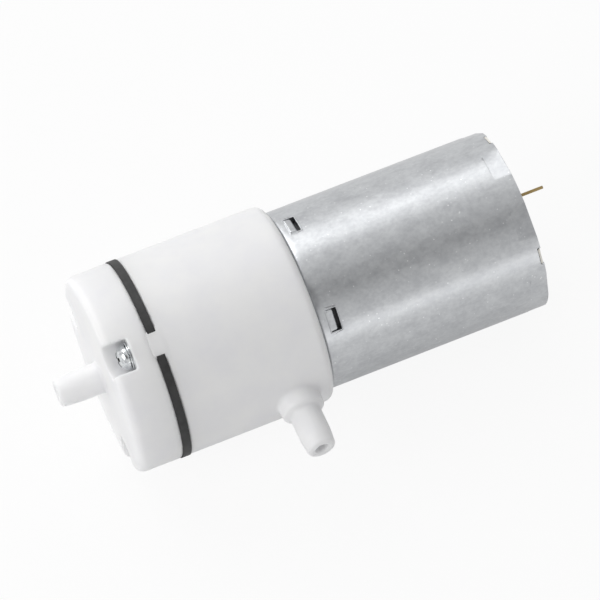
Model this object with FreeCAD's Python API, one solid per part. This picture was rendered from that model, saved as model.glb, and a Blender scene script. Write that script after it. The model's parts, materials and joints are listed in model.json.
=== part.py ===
import FreeCAD, Part

import math
import os

from FreeCAD import Placement, Rotation, Vector

# Small diaphragm pump for air: a round plastic head with three rubber cups, on a direct-current motor.
# X runs along the shaft: the outlet nozzle points to -X and the motor's terminals to +X.
# The origin is on the shaft's axis, in the plane where the motor can meets the pump housing.
# The inlet nozzle points to -Y. Angles are counted about the shaft, from +Y towards +Z, in degrees.
# All lengths are in millimetres.

# Gaps that every fit uses
fit_gap = 0.05
running_gap = 0.02

# Pump head, whose outside stands a step beyond the motor's
head_step = 1.3
cover_len = 5.95
cover_round = 1.0
cover_wall = 1.5
cover_rim = 1.45
flange_t = 1.1
flange_proud = 0.1
housing_len = 20.25
housing_round = 1.15
housing_wall = 2.0
housing_rear_wall = 2.0
ledge_w = 0.6

# Nozzles
nozzle_r = 2.1
nozzle_tip_r = 1.93
nozzle_land = 3.4
nozzle_round = 0.4
nozzle_root_round = 0.3
nozzle_bore_r = 0.9
outlet_len = 6.2
inlet_len = 5.9
inlet_angle = 180.0
inlet_from_rear = 5.25
inlet_boss_r = 2.9
inlet_boss_h = 2.0
inlet_boss_round = 0.45
inlet_root_round = 0.35

# Cover screws, M2, in pockets that are open to the front and to the side
screw_count = 3
screw_angle = 112.0
screw_inset = 2.2
post_r = 2.5
post_len = 10.0
pocket_depth = 3.2
pocket_w = 4.2
pocket_floor_round = 0.12
screw_r = 1.0
screw_hole_r = 1.15
screw_len = 12.0
screw_head_r = 1.75
screw_head_h = 1.35
screw_head_dome = 0.45
screw_washer_r = 1.95
screw_washer_t = 0.4
screw_tip_gap = 0.4

# Cross recess of every screw
cross_w = 0.4
cross_span = 1.9
cross_depth = 0.7

# Valve plate and the chambers in front of it
valve_plate_t = 2.0
outlet_chamber_r = 3.9
chamber_divider = 0.9
pocket_wall = 0.8
outlet_port_r = 0.45
outlet_port_circle_r = 2.65
inlet_valve_circle_r = 6.3
inlet_port_r = 0.35
inlet_port_circle_r = 1.4
inlet_port_count = 3
transfer_wall = 1.0
transfer_r = 0.8

# Umbrella valves of thin rubber
outlet_skirt_r = 3.4
inlet_skirt_r = 2.1
skirt_h = 0.85
skirt_edge_t = 0.3
skirt_hollow = 0.25
skirt_lip = 0.25
valve_stem_r = 0.8
valve_bulb_r = 1.15
valve_bulb_land = 0.4
valve_bulb_len = 1.0
valve_tip_r = 0.65

# Diaphragm cups
cup_circle_r = 5.6
cup_top_r = 3.9
cup_bottom_r = 3.0
cup_wall = 0.5
cup_bottom_t = 1.1
cup_depth = 5.75
cup_stem_r = 0.8
cup_bulb_r = 1.25
cup_bulb_land = 0.4
cup_bulb_len = 1.3
cup_tip_r = 0.55
centre_hole_r = 1.3
cup_holder_t = 2.5
cup_bore_gap = 0.15

# Wobble plate, drive pin and crank
wobble_tilt = 8.5
arm_t = 1.5
arm_end_r = 2.0
arm_hole_gap = 0.08
wobble_hub_r = 2.5
wobble_hub_len = 5.0
arm_rib_w = 0.8
arm_rib_h = 1.3
pin_r = 0.75
pin_running_gap = 0.03
pin_front_wall = 0.8
pin_seat = 2.3
crank_r = 3.5
crank_chamfer = 0.5
crank_clear = 0.4
crank_wall_gap = 0.55
shaft_pin_gap = 0.3

# Motor can, drawn from sheet steel
motor_r = 12.2
can_len = 30.6
can_wall = 0.8
can_round = 0.4
motor_boss_r = 3.1
motor_boss_h = 1.5
motor_boss_wall = 0.6
motor_boss_lip = 0.3
shaft_r = 1.0
shaft_hole_r = 1.4
terminal_angle = 102.0

# Lanced windows, whose tabs stop the magnets
window_spread = 34.65
window_front = 1.24
window_len = 1.4
window_w = 3.1
tab_len = 1.05
tab_angle = 30.0
tab_root = 0.3

# Notches in the can's rear rim, and flats where the rim is staked
notch_count = 4
notch_w = 2.2
notch_depth = 0.45
stake_spread = 24.0
stake_depth = 0.2
stake_len = 2.4

# Motor screws, M2.5
motor_screw_inset = 3.7
motor_screw_r = 1.25
motor_screw_hole_r = 1.4
motor_screw_reach = 1.4
motor_screw_head_r = 2.2
motor_screw_head_h = 1.5
motor_screw_dome = 0.5

# Bearings
bearing_r = 2.5
bearing_len = 2.4

# Magnets and their springs
magnet_t = 3.05
magnet_rear_gap = 4.4
magnet_half_angle = 60.0
spring_wire_r = 0.4
spring_front = 4.0
spring_rear_inset = 2.65

# Armature
air_gap = 0.4
magnet_overhang = 2.9
core_hub_r = 2.6
neck_w = 2.4
shoe_t = 1.2
shoe_half_angle = 51.0
pole_count = 3
insulator_t = 0.5
coil_inner_y = 3.0
coil_clear = 0.12
coil_half_angle = 29.5
coil_overhang = 1.9
coil_round = 1.5

# Commutator
commutator_r = 3.2
segment_t = 0.6
segment_len = 4.2
segment_half_angle = 56.0
commutator_flange_r = 3.4
commutator_flange_t = 0.6
commutator_neck_r = 2.0
commutator_lip = 0.3
riser_h = 1.2
riser_w = 1.2
riser_t = 0.4
winding_gap = 0.15

# Thrust washers and collars
collar_r = 1.9
washer_r = 2.2
washer_t = 0.5
washer_gap = 0.15

# End bell, brushes and terminals
end_bell_t = 2.4
end_bell_recess = 0.15
end_bell_skirt = 3.0
end_bell_skirt_t = 0.95
end_bell_boss_r = 3.3
end_bell_boss_h = 0.85
end_bell_lip = 0.7
brush_w = 2.2
brush_h = 1.6
brush_gap = 0.03
brush_len = 2.8
brush_rear_gap = 0.2
arm_strip_t = 0.25
arm_overlap = 0.3
terminal_t = 0.4
terminal_w = 2.3
terminal_inset = 3.7
terminal_turn = 16.0
terminal_reach = 3.7
terminal_inside = 3.5
terminal_hole_r = 0.55
terminal_chamfer = 0.6

# Stations along the shaft
x_rear_wall = -housing_rear_wall
x_housing = -housing_len
x_flange = x_housing - flange_t
x_plate = x_flange - valve_plate_t
x_cover = x_flange - cover_len
x_chamber = x_cover + cover_wall
x_pocket = x_cover + pocket_depth
x_ledge = x_housing + cup_holder_t
x_inlet = -inlet_from_rear
x_wobble = x_housing + cup_depth

# Radii and angles that follow from the sizes above
head_r = motor_r + head_step
screw_circle_r = head_r - screw_inset
transfer_circle_r = screw_circle_r - post_r - transfer_wall - transfer_r
inlet_chamber_r = screw_circle_r - pocket_w / 2 - pocket_wall
motor_screw_circle_r = motor_r - motor_screw_inset
terminal_r = motor_r - terminal_inset
cavity_r = head_r - housing_wall
rebate_r = cavity_r + ledge_w
recess_r = head_r - cover_rim
inlet_face_r = head_r + inlet_boss_h
screw_angles = [screw_angle + 360.0 * i / screw_count for i in range(screw_count)]
cup_angles = [angle + 180.0 / screw_count for angle in screw_angles]
crank_angle = cup_angles[0]
terminal_angles = [terminal_angle, terminal_angle + 180.0]
gap_angles = [angle - 90.0 for angle in terminal_angles]
notch_angles = [terminal_angle + 360.0 * (i + 0.5) / notch_count for i in range(notch_count)]

# The pin's axis crosses the shaft's axis at the wobble centre, tilted towards the crank angle
tilt = math.radians(wobble_tilt)
turn = math.radians(crank_angle)
pin_axis = Vector(math.cos(tilt), math.sin(tilt) * math.cos(turn), math.sin(tilt) * math.sin(turn))
wobble_frame = Placement(Vector(x_wobble, 0, 0), Rotation(Vector(1, 0, 0), pin_axis))
x_crank = x_wobble + wobble_hub_len * math.cos(tilt) + wobble_hub_r * math.sin(tilt) + crank_clear
x_pin_end = x_crank + pin_seat
x_shaft = x_pin_end + shaft_pin_gap

# Stations inside the motor
can_inner_r = motor_r - can_wall
magnet_r = can_inner_r - fit_gap
magnet_inner_r = magnet_r - magnet_t
core_r = magnet_inner_r - air_gap
x_bearing = motor_boss_lip - motor_boss_h
x_bell_rear = can_len - end_bell_recess
x_bell = x_bell_rear - end_bell_t
x_rear_bearing = x_bell + end_bell_lip
x_bell_boss = x_bell_rear + end_bell_boss_h
x_tab_end = window_front + tab_len * math.cos(math.radians(tab_angle))
x_magnet = x_tab_end + fit_gap
x_magnet_end = x_bell - end_bell_skirt - magnet_rear_gap
x_core = x_magnet + magnet_overhang
x_core_end = x_magnet_end - magnet_overhang
x_coil_end = x_core_end + coil_overhang
x_flange_comm = x_coil_end + winding_gap
x_segment = x_flange_comm + commutator_flange_t
x_segment_end = x_segment + segment_len
x_comm_end = x_segment_end + commutator_lip
x_brush = x_segment_end - brush_rear_gap - brush_len


def rod(radius, start, end, off=0.0):
    """Round bar along the shaft, its centre moved off the axis towards +Y."""
    return Part.makeCylinder(radius, end - start, Vector(start, off, 0), Vector(1, 0, 0))


def tube(outer, inner, start, end):
    """Round tube about the shaft."""
    return rod(outer, start, end).cut(rod(inner, start, end))


def block(x, y, z):
    """Box from three pairs of limits."""
    return Part.makeBox(x[1] - x[0], y[1] - y[0], z[1] - z[0], Vector(x[0], y[0], z[0]))


def outline(start, *steps):
    """Closed flat face: a step of two numbers is a line's end, one of four is an arc's middle and end."""
    here = Vector(*start)
    edges = []
    for step in steps:
        end = Vector(*step[-2:])
        if len(step) == 4:
            edges.append(Part.Arc(here, Vector(*step[:2]), end).toShape())
        else:
            edges.append(Part.LineSegment(here, end).toShape())
        here = end
    edges.append(Part.LineSegment(here, Vector(*start)).toShape())
    return Part.Face(Part.Wire(edges))


def turned(face):
    """Solid of revolution about the shaft, from a face drawn with X along and Y outwards."""
    return face.revolve(Vector(), Vector(1, 0, 0), 360)


def on_arc(x, y, radius, angle):
    """Point on an arc about a centre."""
    return (x + radius * math.cos(math.radians(angle)), y + radius * math.sin(math.radians(angle)))


def sector(outer, inner, start, end, half_angle):
    """Piece of a tube, centred on the +Y side."""
    face = outline((start, inner), (end, inner), (end, outer), (start, outer))
    return around(face.revolve(Vector(), Vector(1, 0, 0), 2 * half_angle), [-half_angle])[0]


def dome_middle(top, height, radius):
    """Middle of the arc from a dome's top on the axis to its edge."""
    ball_r = (radius ** 2 + height ** 2) / (2 * height)
    half = math.asin(radius / ball_r) / 2
    return (top + ball_r * (1 - math.cos(half)), ball_r * math.sin(half))


def around(shape, angles):
    """Copies of a shape that is drawn on the +Y side, turned to each angle about the shaft."""
    return [shape.rotated(Vector(), Vector(1, 0, 0), angle) for angle in angles]


def placed(shape, placement):
    """Copy of a shape, moved by a placement."""
    copy = shape.copy()
    copy.Placement = placement.multiply(copy.Placement)
    return copy


def joined(shape, others):
    """One solid from a shape and what is built onto it."""
    return shape.fuse(others).removeSplitter()


def ring_edges(shape, x, radius):
    """The full circles about the shaft at one station and radius."""
    found = []
    for edge in shape.Edges:
        if isinstance(edge.Curve, Part.Circle) and abs(edge.Curve.Radius - radius) < 1e-6:
            if abs(edge.CenterOfMass.x - x) < 1e-6 and edge.isClosed():
                found.append(edge)
    return found


def nozzle(length):
    """Hose nozzle along +X from its root: a parallel land, then a slight taper to a rounded tip."""
    root = nozzle_root_round
    tip = nozzle_tip_r - nozzle_round
    return turned(outline(
        (-root, 0),
        (-root, nozzle_r + root),
        (0, nozzle_r + root),
        (*on_arc(root, nozzle_r + root, root, 225), root, nozzle_r),
        (nozzle_land, nozzle_r),
        (length - nozzle_round, nozzle_tip_r),
        (*on_arc(length - nozzle_round, tip, nozzle_round, 45), length, tip),
        (length, 0),
    ))


def pan_screw(radius, height, dome, shank_r, length, washer_r=0.0, washer_t=0.0):
    """Pan-head screw along +X: the underside of its washer or head is at the origin."""
    top = -washer_t - height
    head = turned(outline(
        (top, 0),
        (*dome_middle(top, dome, radius), top + dome, radius),
        (-washer_t, radius),
        (-washer_t, 0),
    ))
    shank = rod(shank_r, -washer_t, length)
    pieces = [shank]
    if washer_t:
        pieces.append(rod(washer_r, -washer_t, 0))
    screw = joined(head, pieces)
    half = cross_span / 2
    for across in (Vector(0, 1, 0), Vector(0, 0, 1)):
        y = half if across.y else cross_w / 2
        z = half if across.z else cross_w / 2
        screw = screw.cut(block((top - dome, top + cross_depth), (-y, y), (-z, z)))
    return screw


def screw_posts(radius, start, end):
    """Round columns about the cover screws, kept within the head's outer surface."""
    return [post.common(rod(head_r, start, end))
            for post in around(rod(radius, start, end, screw_circle_r), screw_angles)]


def screw_pocket():
    """Space for one cover screw's head: round about the screw and open outwards, with a rounded floor."""
    pocket = rod(pocket_w / 2, x_cover, x_pocket, screw_circle_r)
    reach = (screw_circle_r, head_r + pocket_w)
    pocket = joined(pocket, [block((x_cover, x_pocket), reach, (-pocket_w / 2, pocket_w / 2))])
    floor_edges = [edge for edge in pocket.Edges if edge.BoundBox.XMin > x_pocket - 1e-6]
    return pocket.makeFillet(pocket_floor_round, floor_edges)


def front_cover():
    """White cover with the outlet nozzle, three screw pockets and the two chambers behind its face."""
    body = rod(head_r, x_cover, x_flange)
    body = body.makeFillet(cover_round, ring_edges(body, x_cover, head_r))
    outlet = placed(nozzle(outlet_len), Placement(Vector(x_cover, 0, 0), Rotation(Vector(0, 0, 1), 180)))
    body = joined(body, [outlet])
    recess = rod(recess_r, x_plate, x_flange)
    cuts = [recess.cut(screw_posts(post_r, x_plate, x_flange))]
    cuts.append(rod(outlet_chamber_r, x_chamber, x_plate))
    cuts.append(tube(inlet_chamber_r, outlet_chamber_r + chamber_divider, x_chamber, x_plate))
    cuts.append(rod(nozzle_bore_r, x_cover - outlet_len, x_chamber))
    cuts += around(screw_pocket(), screw_angles)
    cuts += around(rod(screw_hole_r, x_pocket, x_flange, screw_circle_r), screw_angles)
    return body.cut(cuts)


def valve_plate():
    """Disc nested in the cover, with the ports and the valve stems' holes."""
    plate = rod(recess_r - fit_gap, x_plate, x_flange)
    cuts = screw_posts(post_r + fit_gap, x_plate, x_flange)
    cuts.append(rod(valve_stem_r, x_plate, x_flange))
    cuts += around(rod(outlet_port_r, x_plate, x_flange, outlet_port_circle_r), cup_angles)
    cuts += around(rod(transfer_r, x_plate, x_flange, transfer_circle_r), screw_angles)
    valve_holes = rod(valve_stem_r, x_plate, x_flange, inlet_valve_circle_r)
    port = rod(inlet_port_r, x_plate, x_flange, inlet_port_circle_r)
    step = 360.0 / inlet_port_count
    for inlet_port in around(port, [i * step for i in range(inlet_port_count)]):
        inlet_port.translate(Vector(0, inlet_valve_circle_r, 0))
        valve_holes = valve_holes.fuse(inlet_port)
    cuts += around(valve_holes, cup_angles)
    return plate.cut(cuts)


def umbrella(skirt_r):
    """Rubber umbrella valve: its skirt lies on a plate's face at the origin and its stem goes along +X."""
    bulb = valve_plate_t + valve_bulb_len
    return turned(outline(
        (-skirt_h, 0),
        (*dome_middle(-skirt_h, skirt_h - skirt_edge_t, skirt_r), -skirt_edge_t, skirt_r),
        (0, skirt_r),
        (0, skirt_r - skirt_lip),
        (-skirt_hollow, valve_stem_r),
        (valve_plate_t, valve_stem_r),
        (valve_plate_t, valve_bulb_r),
        (valve_plate_t + valve_bulb_land, valve_bulb_r),
        (bulb, valve_tip_r),
        (bulb, 0),
    ))


def outlet_valve():
    """Umbrella valve in the outlet chamber, over the three outlet ports."""
    return placed(umbrella(outlet_skirt_r), Placement(Vector(x_plate, 0, 0), Rotation()))


def inlet_valve(angle):
    """Umbrella valve in the mouth of one cup, over its inlet ports."""
    spot = Placement(Vector(x_flange, inlet_valve_circle_r, 0), Rotation(Vector(0, 0, 1), 180))
    return around(placed(umbrella(inlet_skirt_r), spot), [angle])[0]


def ring_wire(radius, x, off):
    """Circle square to the shaft, its centre moved towards +Y."""
    return Part.Wire([Part.Circle(Vector(x, off, 0), Vector(1, 0, 0), radius).toShape()])


def cup_form(angle, stations, bottom_r):
    """Loft from rings square to the shaft down to the tilted ring where a cup's bottom starts."""
    rings = [around(ring_wire(radius, x, cup_circle_r), [angle])[0] for x, radius in stations]
    bottom = around(ring_wire(bottom_r, -fit_gap - cup_bottom_t, cup_circle_r), [angle])[0]
    rings.append(placed(bottom, wobble_frame))
    return Part.makeLoft(rings, True, True)


def cup_root(angle):
    """A cup's thick bottom with the stem and bulb that hold it in the wobble plate's arm."""
    bottom = rod(cup_bottom_r, -fit_gap - cup_bottom_t, -fit_gap, cup_circle_r)
    stem = rod(cup_stem_r, -fit_gap, arm_t + fit_gap, cup_circle_r)
    behind = arm_t + fit_gap
    bulb = turned(outline(
        (behind, 0),
        (behind, cup_bulb_r),
        (behind + cup_bulb_land, cup_bulb_r),
        (behind + cup_bulb_len, cup_tip_r),
        (behind + cup_bulb_len, 0),
    ))
    bulb.translate(Vector(0, cup_circle_r, 0))
    return placed(around(joined(bottom, [stem, bulb]), [angle])[0], wobble_frame)


def diaphragm():
    """Black rubber moulding: the flange that seals the head, and three cups in their rest positions."""
    mid = x_flange + flange_t / 2
    flange = rod(head_r + flange_proud, x_flange, x_housing)
    grown = []
    cuts = []
    for angle in cup_angles:
        grown.append(cup_form(angle, [(mid, cup_top_r), (x_housing, cup_top_r)], cup_bottom_r))
        grown.append(cup_root(angle))
        mouth_r = cup_top_r - cup_wall
        inner = [(x_flange - fit_gap, mouth_r), (x_housing, mouth_r)]
        cuts.append(cup_form(angle, inner, cup_bottom_r - cup_wall))
    cuts.append(rod(centre_hole_r, x_flange, x_housing))
    cuts += around(rod(transfer_r, x_flange, x_housing, transfer_circle_r), screw_angles)
    cuts += around(rod(post_r + fit_gap, x_flange, x_housing, screw_circle_r), screw_angles)
    return joined(flange, grown).cut(cuts)


def cup_holder():
    """Plate on the housing's ledge, which holds the mouths of the cups."""
    plate = rod(rebate_r - fit_gap, x_housing, x_ledge)
    cuts = around(rod(cup_top_r + cup_bore_gap, x_housing, x_ledge, cup_circle_r), cup_angles)
    cuts += around(rod(transfer_r, x_housing, x_ledge, transfer_circle_r), screw_angles)
    cuts += screw_posts(post_r + fit_gap, x_housing, x_ledge)
    return plate.cut(cuts)


def inlet_nozzle():
    """The housing's side nozzle and the round boss that carries it, standing on the +Y side."""
    foot = Vector(x_inlet, cavity_r, 0)
    boss = Part.makeCylinder(inlet_boss_r, inlet_face_r - cavity_r, foot, Vector(0, 1, 0))
    face_edges = [edge for edge in boss.Edges if edge.CenterOfMass.y > inlet_face_r - 1e-6]
    boss = boss.makeFillet(inlet_boss_round, face_edges)
    upright = Placement(Vector(x_inlet, inlet_face_r, 0), Rotation(Vector(0, 0, 1), 90))
    return joined(boss, [placed(nozzle(inlet_len), upright)])


def boss_seam(shape):
    """The curve where the inlet boss grows out of the housing's round wall."""
    return [edge for edge in shape.Edges if isinstance(edge.Curve, Part.BSplineCurve)]


def pump_housing():
    """White crankcase with the inlet nozzle, the screw posts and the ledge for the cup holder."""
    body = rod(head_r, x_housing, 0)
    body = body.makeFillet(housing_round, ring_edges(body, 0, head_r))
    body = joined(body, [inlet_nozzle()])
    body = body.makeFillet(inlet_root_round, boss_seam(body))
    body = around(body, [inlet_angle])[0]
    body = joined(body, screw_posts(post_r, x_flange, x_housing))
    hollow = rod(cavity_r, x_ledge, x_rear_wall).fuse(rod(rebate_r, x_housing, x_ledge))
    hollow = hollow.cut(screw_posts(post_r, x_housing, x_housing + post_len))
    cuts = [hollow]
    pilot_end = x_pocket + screw_len + screw_tip_gap
    cuts += around(rod(screw_r, x_flange, pilot_end, screw_circle_r), screw_angles)
    cuts.append(rod(motor_boss_r + fit_gap, x_rear_wall, 0))
    cuts += around(rod(motor_screw_hole_r, x_rear_wall, 0, motor_screw_circle_r), gap_angles)
    bore_start = cavity_r - housing_wall
    bore_len = inlet_face_r + inlet_len - bore_start
    bore = Part.makeCylinder(nozzle_bore_r, bore_len, Vector(x_inlet, bore_start, 0), Vector(0, 1, 0))
    cuts += around(bore, [inlet_angle])
    return body.cut(cuts)


def cover_screws():
    """Three M2 screws from the cover's pockets into the housing's posts."""
    screw = pan_screw(screw_head_r, screw_head_h, screw_head_dome, screw_r, screw_len,
                      screw_washer_r, screw_washer_t)
    screw.translate(Vector(x_pocket, screw_circle_r, 0))
    return Part.makeCompound(around(screw, screw_angles))


def wobble_plate():
    """Three-armed plate whose hub runs on the inclined drive pin."""
    plate = rod(wobble_hub_r, 0, wobble_hub_len)
    arm = rod(arm_end_r, 0, arm_t, cup_circle_r)
    arm = arm.fuse(block((0, arm_t), (0, cup_circle_r), (-arm_end_r, arm_end_r)))
    rib_face = outline(
        (arm_t, 0),
        (arm_t + arm_rib_h, 0),
        (arm_t + arm_rib_h, wobble_hub_r),
        (arm_t, cup_circle_r - cup_bulb_r - fit_gap),
    )
    rib = rib_face.extrude(Vector(0, 0, arm_rib_w))
    rib.translate(Vector(0, 0, -arm_rib_w / 2))
    plate = joined(plate, around(arm.fuse(rib), cup_angles))
    cuts = around(rod(cup_stem_r + arm_hole_gap, 0, arm_t, cup_circle_r), cup_angles)
    cuts.append(rod(pin_r + pin_running_gap, pin_front_wall, wobble_hub_len))
    return placed(plate.cut(cuts), wobble_frame)


def pin_length():
    """The drive pin's length, from inside the wobble plate to inside the crank."""
    return (x_pin_end - x_wobble) / math.cos(tilt) - pin_front_wall - pin_running_gap


def pin_form():
    """The drive pin's round form, with a domed front end."""
    start = pin_front_wall + pin_running_gap
    ball = start + pin_r
    form = outline(
        (start, 0),
        (*on_arc(ball, 0, pin_r, 135), ball, pin_r),
        (start + pin_length(), pin_r),
        (start + pin_length(), 0),
    )
    return placed(turned(form), wobble_frame)


def crank():
    """Plastic crank pressed on the motor shaft, with the inclined hole for the drive pin."""
    x_back = x_rear_wall - crank_wall_gap
    body = turned(outline(
        (x_crank, 0),
        (x_crank, crank_r - crank_chamfer),
        (x_crank + crank_chamfer, crank_r),
        (x_back - crank_chamfer, crank_r),
        (x_back, crank_r - crank_chamfer),
        (x_back, 0),
    ))
    return body.cut([rod(shaft_r, x_shaft, x_back), pin_form()])


def motor_can():
    """Drawn steel can with a boss for the front bearing, lanced windows and a staked rear rim."""
    inner = can_wall
    boss_front = -motor_boss_h
    body = turned(outline(
        (boss_front, shaft_hole_r),
        (boss_front, motor_boss_r),
        (0, motor_boss_r),
        (0, motor_r - can_round),
        (*on_arc(can_round, motor_r - can_round, can_round, 135), can_round, motor_r),
        (can_len, motor_r),
        (can_len, can_inner_r),
        (inner, can_inner_r),
        (inner, motor_boss_r - motor_boss_wall),
        (x_bearing, motor_boss_r - motor_boss_wall),
        (x_bearing, shaft_hole_r),
    ))
    through = (can_inner_r - can_wall, motor_r + can_wall)
    window_angles = [angle + side * window_spread for angle in terminal_angles for side in (-1, 1)]
    window = block((window_front, window_front + window_len), through, (-window_w / 2, window_w / 2))
    cuts = around(window, window_angles)
    cuts += around(rod(motor_screw_r, 0, can_wall, motor_screw_circle_r), gap_angles)
    notch = block((can_len - notch_depth, can_len), through, (-notch_w / 2, notch_w / 2))
    cuts += around(notch, notch_angles)
    staked = (motor_r - stake_depth, motor_r + can_wall)
    flat = block((can_len - stake_len, can_len), staked, (-motor_r, motor_r))
    cuts += around(flat, [angle + side * stake_spread for angle in notch_angles for side in (-1, 1)])
    return joined(body.cut(cuts), around(window_tab(), window_angles))


def window_tab():
    """Tab of a lanced window, bent inwards from the window's front edge."""
    bend = math.radians(tab_angle)
    tip_r = motor_r - tab_len * math.sin(bend)
    tab = outline(
        (window_front - tab_root, motor_r),
        (window_front, motor_r),
        (x_tab_end, tip_r),
        (x_tab_end - can_wall * math.sin(bend), tip_r - can_wall * math.cos(bend)),
        (window_front - tab_root, can_inner_r),
    )
    half = math.degrees(math.asin(window_w / 2 / motor_r))
    return around(tab.revolve(Vector(), Vector(1, 0, 0), 2 * half), [-half])[0]


def motor_screws():
    """Two M2.5 screws that hold the motor to the housing's rear wall."""
    length = housing_rear_wall + can_wall + motor_screw_reach
    screw = pan_screw(motor_screw_head_r, motor_screw_head_h, motor_screw_dome, motor_screw_r, length)
    screw.translate(Vector(x_rear_wall, motor_screw_circle_r, 0))
    return Part.makeCompound(around(screw, gap_angles))


def magnet(angle):
    """One arc magnet, against the can's wall and the tabs of its windows."""
    shape = sector(magnet_r, magnet_inner_r, x_magnet, x_magnet_end, magnet_half_angle)
    return around(shape, [angle])[0]


def magnet_springs():
    """Two bent wires that push the magnets' side faces apart."""
    ring_r = can_inner_r - spring_wire_r - fit_gap
    beside = math.degrees(math.asin((spring_wire_r + fit_gap) / ring_r))
    half = 90.0 - magnet_half_angle - beside
    x_bend = x_magnet_end - spring_rear_inset
    leg = rod(spring_wire_r, spring_front, x_bend, ring_r)
    corner_at = Vector(x_bend, ring_r, 0)
    corner = Part.makeSphere(spring_wire_r, corner_at)
    section = Part.Face(Part.Wire([Part.Circle(corner_at, Vector(0, 0, 1), spring_wire_r).toShape()]))
    bend = around(section.revolve(Vector(), Vector(1, 0, 0), 2 * half), [-half])[0]
    wire = joined(bend, around(leg, [-half, half]) + around(corner, [-half, half]))
    return Part.makeCompound(around(wire, gap_angles))


def pole_angles():
    """The armature's three poles, with one in line with a magnet's centre."""
    return [terminal_angle + 360.0 * i / pole_count for i in range(pole_count)]


def armature_core():
    """Stack of steel laminations with three poles."""
    hub = rod(core_hub_r, x_core, x_core_end)
    neck = block((x_core, x_core_end), (0, core_r - shoe_t / 2), (-neck_w / 2, neck_w / 2))
    shoe = sector(core_r, core_r - shoe_t, x_core, x_core_end, shoe_half_angle)
    core = joined(hub, around(neck.fuse(shoe), pole_angles()))
    return core.cut(rod(shaft_r, x_core, x_core_end))


def core_insulators():
    """Thin star-shaped cards on both ends of the core, under the windings."""
    cards = []
    for start in (x_core - insulator_t, x_core_end):
        end = start + insulator_t
        neck = block((start, end), (0, core_r - shoe_t), (-neck_w / 2, neck_w / 2))
        card = joined(rod(core_hub_r, start, end), around(neck, pole_angles()))
        cards.append(card.cut(rod(shaft_r, start, end)))
    return Part.makeCompound(cards)


def coil(angle):
    """Winding of one pole, a rounded block about the pole's neck."""
    outer_y, half_w = on_arc(0, 0, core_r - shoe_t - coil_clear, coil_half_angle)
    body = block((x_core - coil_overhang, x_coil_end), (coil_inner_y, outer_y), (-half_w, half_w))
    corners = [edge for edge in body.Edges if edge.BoundBox.YLength > outer_y - coil_inner_y - fit_gap
               and edge.BoundBox.XLength < fit_gap and edge.BoundBox.ZLength < fit_gap]
    body = body.makeFillet(coil_round, corners)
    hole_x = (x_core - insulator_t - running_gap, x_core_end + insulator_t + running_gap)
    hole_z = neck_w / 2 + running_gap
    return around(body.cut(block(hole_x, (0, core_r), (-hole_z, hole_z))), [angle])[0]


def commutator_hub():
    """Moulded hub under the commutator's segments."""
    under_r = commutator_r - segment_t
    body = turned(outline(
        (x_core_end + insulator_t, 0),
        (x_core_end + insulator_t, commutator_neck_r),
        (x_flange_comm, commutator_neck_r),
        (x_flange_comm, commutator_flange_r),
        (x_segment, commutator_flange_r),
        (x_segment, under_r),
        (x_segment_end, under_r),
        (x_comm_end, under_r),
        (x_comm_end, 0),
    ))
    return body.cut(rod(shaft_r, x_core_end, x_comm_end))


def commutator_segments():
    """Three copper segments, each with a riser for the winding's end."""
    bar = sector(commutator_r, commutator_r - segment_t, x_segment, x_segment_end, segment_half_angle)
    riser = block((x_segment, x_segment + riser_t), (commutator_r - segment_t / 2, commutator_r + riser_h),
                  (-riser_w / 2, riser_w / 2))
    offset = 180.0 / pole_count
    return Part.makeCompound(around(joined(bar, [riser]), [angle + offset for angle in pole_angles()]))


def thrust_washers():
    """Collars and washers that keep the armature between the bearings."""
    x_washer = x_bearing + bearing_len + washer_gap
    x_front = x_washer + washer_t
    x_rear = x_bell - washer_gap - washer_t
    return Part.makeCompound([
        tube(washer_r, shaft_r, x_washer, x_front),
        tube(collar_r, shaft_r, x_front, x_core - insulator_t),
        tube(collar_r, shaft_r, x_comm_end, x_rear),
        tube(washer_r, shaft_r, x_rear, x_rear + washer_t),
    ])


def bearing(start):
    """Plain bearing of sintered bronze."""
    return tube(bearing_r, shaft_r + running_gap, start, start + bearing_len)


def end_bell():
    """White nylon rear closure, keyed into the rim's notches, with the rear bearing's boss."""
    plate_r = can_inner_r - fit_gap
    body = rod(plate_r, x_bell, x_bell_rear)
    skirt = tube(plate_r, plate_r - end_bell_skirt_t, x_bell - end_bell_skirt, x_bell)
    boss = rod(end_bell_boss_r, x_bell, x_bell_boss)
    key_x = (can_len - notch_depth + fit_gap, x_bell_rear)
    key_z = notch_w / 2 - fit_gap
    key = block(key_x, (plate_r - can_wall, motor_r - fit_gap), (-key_z, key_z))
    body = joined(body, [skirt, boss] + around(key, notch_angles))
    cuts = [rod(bearing_r, x_rear_bearing, x_bell_boss), rod(shaft_hole_r, x_bell, x_rear_bearing)]
    cuts += around(terminal_turned(terminal_blank(x_bell, x_bell_rear)), terminal_angles)
    return body.cut(cuts)


def terminal_blank(start, end):
    """Flat brass strip in the plane of the shaft, on the +Y side."""
    radial = (terminal_r - terminal_w / 2, terminal_r + terminal_w / 2)
    return block((start, end), radial, (-terminal_t / 2, terminal_t / 2))


def terminal_turned(shape):
    """The strip's shape, turned about its own middle, as the two tags stand parallel beside a diameter."""
    return shape.rotated(Vector(0, terminal_r, 0), Vector(1, 0, 0), terminal_turn)


def terminal(angle):
    """Brass solder tag with a hole near its chamfered tip."""
    tip = can_len + terminal_reach
    blade = terminal_blank(x_bell - terminal_inside, tip)
    corners = []
    for edge in blade.Edges:
        if edge.BoundBox.ZLength > terminal_t / 2 and edge.CenterOfMass.x > tip - 1e-6:
            corners.append(edge)
    blade = blade.makeChamfer(terminal_chamfer, corners)
    hole_at = Vector(tip - terminal_w / 2, terminal_r, -terminal_t / 2)
    hole = Part.makeCylinder(terminal_hole_r, terminal_t, hole_at, Vector(0, 0, 1))
    return around(terminal_turned(blade.cut(hole)), [angle])[0]


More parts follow.
